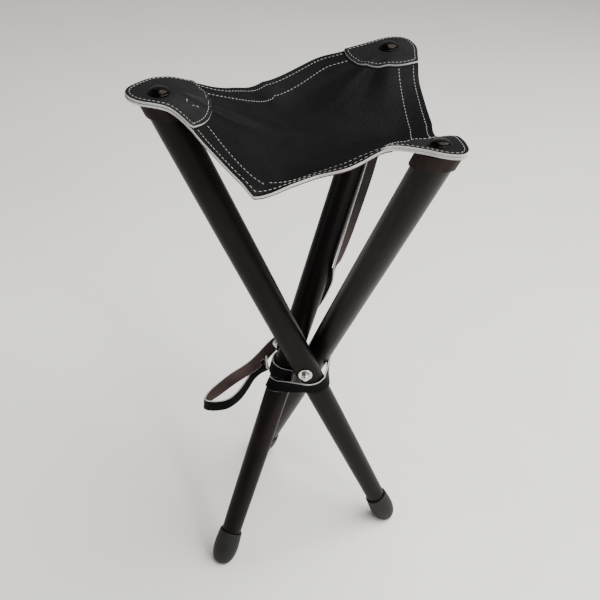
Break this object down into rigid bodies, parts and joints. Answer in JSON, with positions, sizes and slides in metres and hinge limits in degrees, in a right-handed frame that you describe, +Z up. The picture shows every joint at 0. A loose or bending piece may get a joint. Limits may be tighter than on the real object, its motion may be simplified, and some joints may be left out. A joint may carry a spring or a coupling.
{
  "type": "folding tripod stool",
  "caption": "Folding hunting stool: round tapered legs crossing at a three-way bolt, sling seat of stitched black leather, rubber feet and a leather carry strap",
  "frame": {"origin": "on the floor plane, under the middle of the open stool's box", "axes": "+Z up; -Y is the front, towards the viewer; +X to the right; the left leg's top is at -X"},
  "size_m": [0.3634, 0.3606, 0.657],
  "materials": {
    "leg_wood": "satin near-black stain with a faint red-brown warmth",
    "foot_rubber": "matt charcoal moulded rubber",
    "seat_leather": "black pebble-grained leather with raw pale cut edges and white stitching",
    "patch_leather": "black leather of the corner patches, raw pale edges, white stitching",
    "ring_leather": "black leather band, pale raw edges",
    "strap_leather": "leather strap, black grain on one side and red-brown flesh on the other",
    "brown_leather": "dark red-brown unfinished leather",
    "plated_steel": "bright plated steel",
    "stud_bronze": "dark bronze finish, glossy"
  },
  "bodies": {
    "hub": {"tripod_bolt": "plated_steel", "washer_left": "plated_steel", "washer_right": "plated_steel", "washer_rear": "plated_steel", "cap_nut_left": "plated_steel", "cap_nut_right": "plated_steel", "cap_nut_rear": "plated_steel", "ring_strap": "ring_leather", "ring_rivet": "stud_bronze", "carry_strap": "strap_leather"},
    "leg_left": {"leg_left": "leg_wood", "foot_left": "foot_rubber", "leg_cap_left": "brown_leather", "seat_stud_left": "stud_bronze"},
    "leg_right": {"leg_right": "leg_wood", "foot_right": "foot_rubber", "leg_cap_right": "brown_leather", "seat_stud_right": "stud_bronze"},
    "leg_rear": {"leg_rear": "leg_wood", "foot_rear": "foot_rubber", "leg_cap_rear": "brown_leather", "seat_stud_rear": "stud_bronze", "strap_nail": "stud_bronze"},
    "seat": {"seat_leather": "seat_leather", "edge_strip_left_right": "brown_leather", "edge_strip_right_rear": "brown_leather", "edge_strip_rear_left": "brown_leather"},
    "corner_left": {"corner_patch_left": "patch_leather"},
    "corner_right": {"corner_patch_right": "patch_leather"},
    "corner_rear": {"corner_patch_rear": "patch_leather"}
  },
  "joints": [
    {"name": "leg_left_fold", "type": "hinge", "parent": "hub", "child": "leg_left", "pos_m": [0.0313, -0.0117, 0.2821], "axis": [-0.0654, 0.9963, 0.0562], "range_deg": [0, 23.93], "deforming": ["ring_strap"]},
    {"name": "leg_right_fold", "type": "hinge", "parent": "hub", "child": "leg_right", "pos_m": [0.0313, -0.0117, 0.2821], "axis": [-0.8313, -0.5554, -0.0184], "range_deg": [0, 19.69]},
    {"name": "leg_rear_fold", "type": "hinge", "parent": "hub", "child": "leg_rear", "pos_m": [0.0313, -0.0117, 0.2821], "axis": [0.8968, -0.4408, -0.0377], "range_deg": [0, 25.03], "deforming": ["carry_strap"]},
    {"name": "seat_rise", "type": "slide", "parent": "hub", "child": "seat", "axis": [0.0148, -0.0553, 0.9984], "range_m": [0, 0.14], "deforming": ["seat_leather", "edge_strip_left_right", "edge_strip_right_rear", "edge_strip_rear_left"]},
    {"name": "corner_left_fold", "type": "hinge", "parent": "seat", "child": "corner_left", "pos_m": [-0.29931, -0.02969, 0.21589], "axis": [-0.0654, 0.9963, 0.0562], "range_deg": [0, 23.93], "deforming": ["corner_patch_left"]},
    {"name": "corner_right_fold", "type": "hinge", "parent": "seat", "child": "corner_right", "pos_m": [0.25435, -0.34251, 0.19035], "axis": [-0.8313, -0.5554, -0.0184], "range_deg": [0, 19.69], "deforming": ["corner_patch_right"]},
    {"name": "corner_rear_fold", "type": "hinge", "parent": "seat", "child": "corner_rear", "pos_m": [0.16971, 0.2747, 0.22579], "axis": [0.8968, -0.4408, -0.0377], "range_deg": [0, 25.03], "deforming": ["corner_patch_rear"]}
  ],
  "couplings": [
    {"joint": "leg_right_fold", "follows": "leg_left_fold", "ratio": 0.82282},
    {"joint": "leg_rear_fold", "follows": "leg_left_fold", "ratio": 1.046},
    {"joint": "seat_rise", "follows": "leg_left_fold", "m_per_rad": 0.3352},
    {"joint": "corner_left_fold", "follows": "leg_left_fold", "ratio": 1},
    {"joint": "corner_right_fold", "follows": "leg_left_fold", "ratio": 0.82282},
    {"joint": "corner_rear_fold", "follows": "leg_left_fold", "ratio": 1.046}
  ]
}
